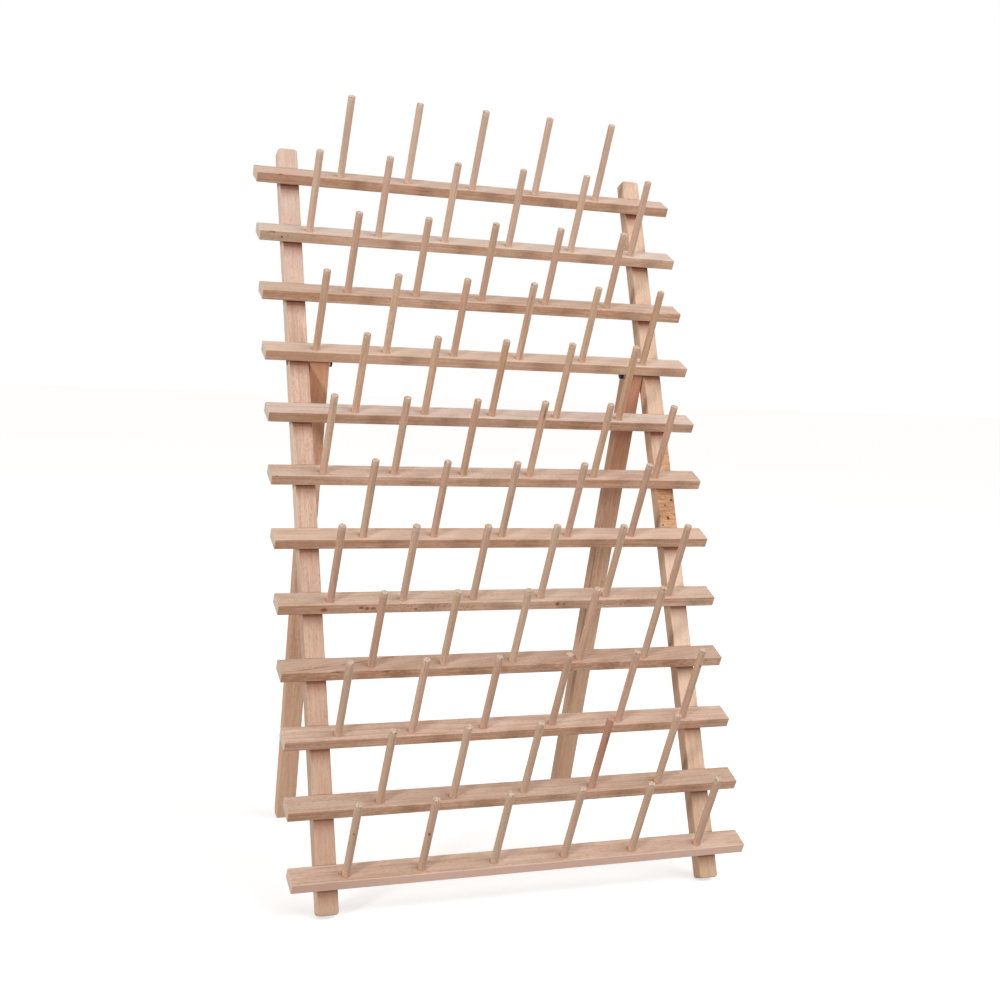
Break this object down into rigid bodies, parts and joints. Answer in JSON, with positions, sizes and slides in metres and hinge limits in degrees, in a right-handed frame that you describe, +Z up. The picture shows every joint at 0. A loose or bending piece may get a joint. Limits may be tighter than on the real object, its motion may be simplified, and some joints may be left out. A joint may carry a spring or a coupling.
{
  "type": "thread rack",
  "caption": "Folding wooden thread rack: tilted rails with slanting spool pegs, notched into side posts that lean back on hinged rear legs.",
  "frame": {"origin": "on the floor, under the middle of the rack's bounding box, with the back legs open", "axes": "+X to the right along the rails, +Y to the back, +Z up; the pegs face -Y"},
  "size_m": [0.418, 0.3222, 0.6969],
  "materials": {
    "rail_wood": "sanded, unvarnished hardwood",
    "post_wood": "sanded, unvarnished hardwood",
    "leg_wood": "sanded, unvarnished hardwood",
    "peg_wood": "turned dowel, unvarnished",
    "black_steel": "black oxide",
    "zinc_steel": "bright zinc"
  },
  "bodies": {
    "rack": {"rail_01": "rail_wood", "pegs_01": "peg_wood", "rail_02": "rail_wood", "pegs_02": "peg_wood", "rail_03": "rail_wood", "pegs_03": "peg_wood", "rail_04": "rail_wood", "pegs_04": "peg_wood", "rail_05": "rail_wood", "pegs_05": "peg_wood", "rail_06": "rail_wood", "pegs_06": "peg_wood", "rail_07": "rail_wood", "pegs_07": "peg_wood", "rail_08": "rail_wood", "pegs_08": "peg_wood", "rail_09": "rail_wood", "pegs_09": "peg_wood", "rail_10": "rail_wood", "pegs_10": "peg_wood", "rail_11": "rail_wood", "pegs_11": "peg_wood", "rail_12": "rail_wood", "pegs_12": "peg_wood", "left_post": "post_wood", "left_pivot_bolt": "black_steel", "left_spacer_washer": "zinc_steel", "left_nut_washer": "zinc_steel", "left_pivot_nut": "black_steel", "left_rail_brads": "zinc_steel", "right_post": "post_wood", "right_pivot_bolt": "black_steel", "right_spacer_washer": "zinc_steel", "right_nut_washer": "zinc_steel", "right_pivot_nut": "black_steel", "right_rail_brads": "zinc_steel"},
    "left_leg": {"left_back_leg": "leg_wood"},
    "right_leg": {"right_back_leg": "leg_wood"}
  },
  "joints": [
    {"name": "left_leg_fold", "type": "hinge", "parent": "rack", "child": "left_leg", "pos_m": [0, 0.03917, 0.45463], "axis": [-1, 0, 0], "range_deg": [0, 25]},
    {"name": "right_leg_fold", "type": "hinge", "parent": "rack", "child": "right_leg", "pos_m": [0, 0.03917, 0.45463], "axis": [-1, 0, 0], "range_deg": [0, 25]}
  ]
}
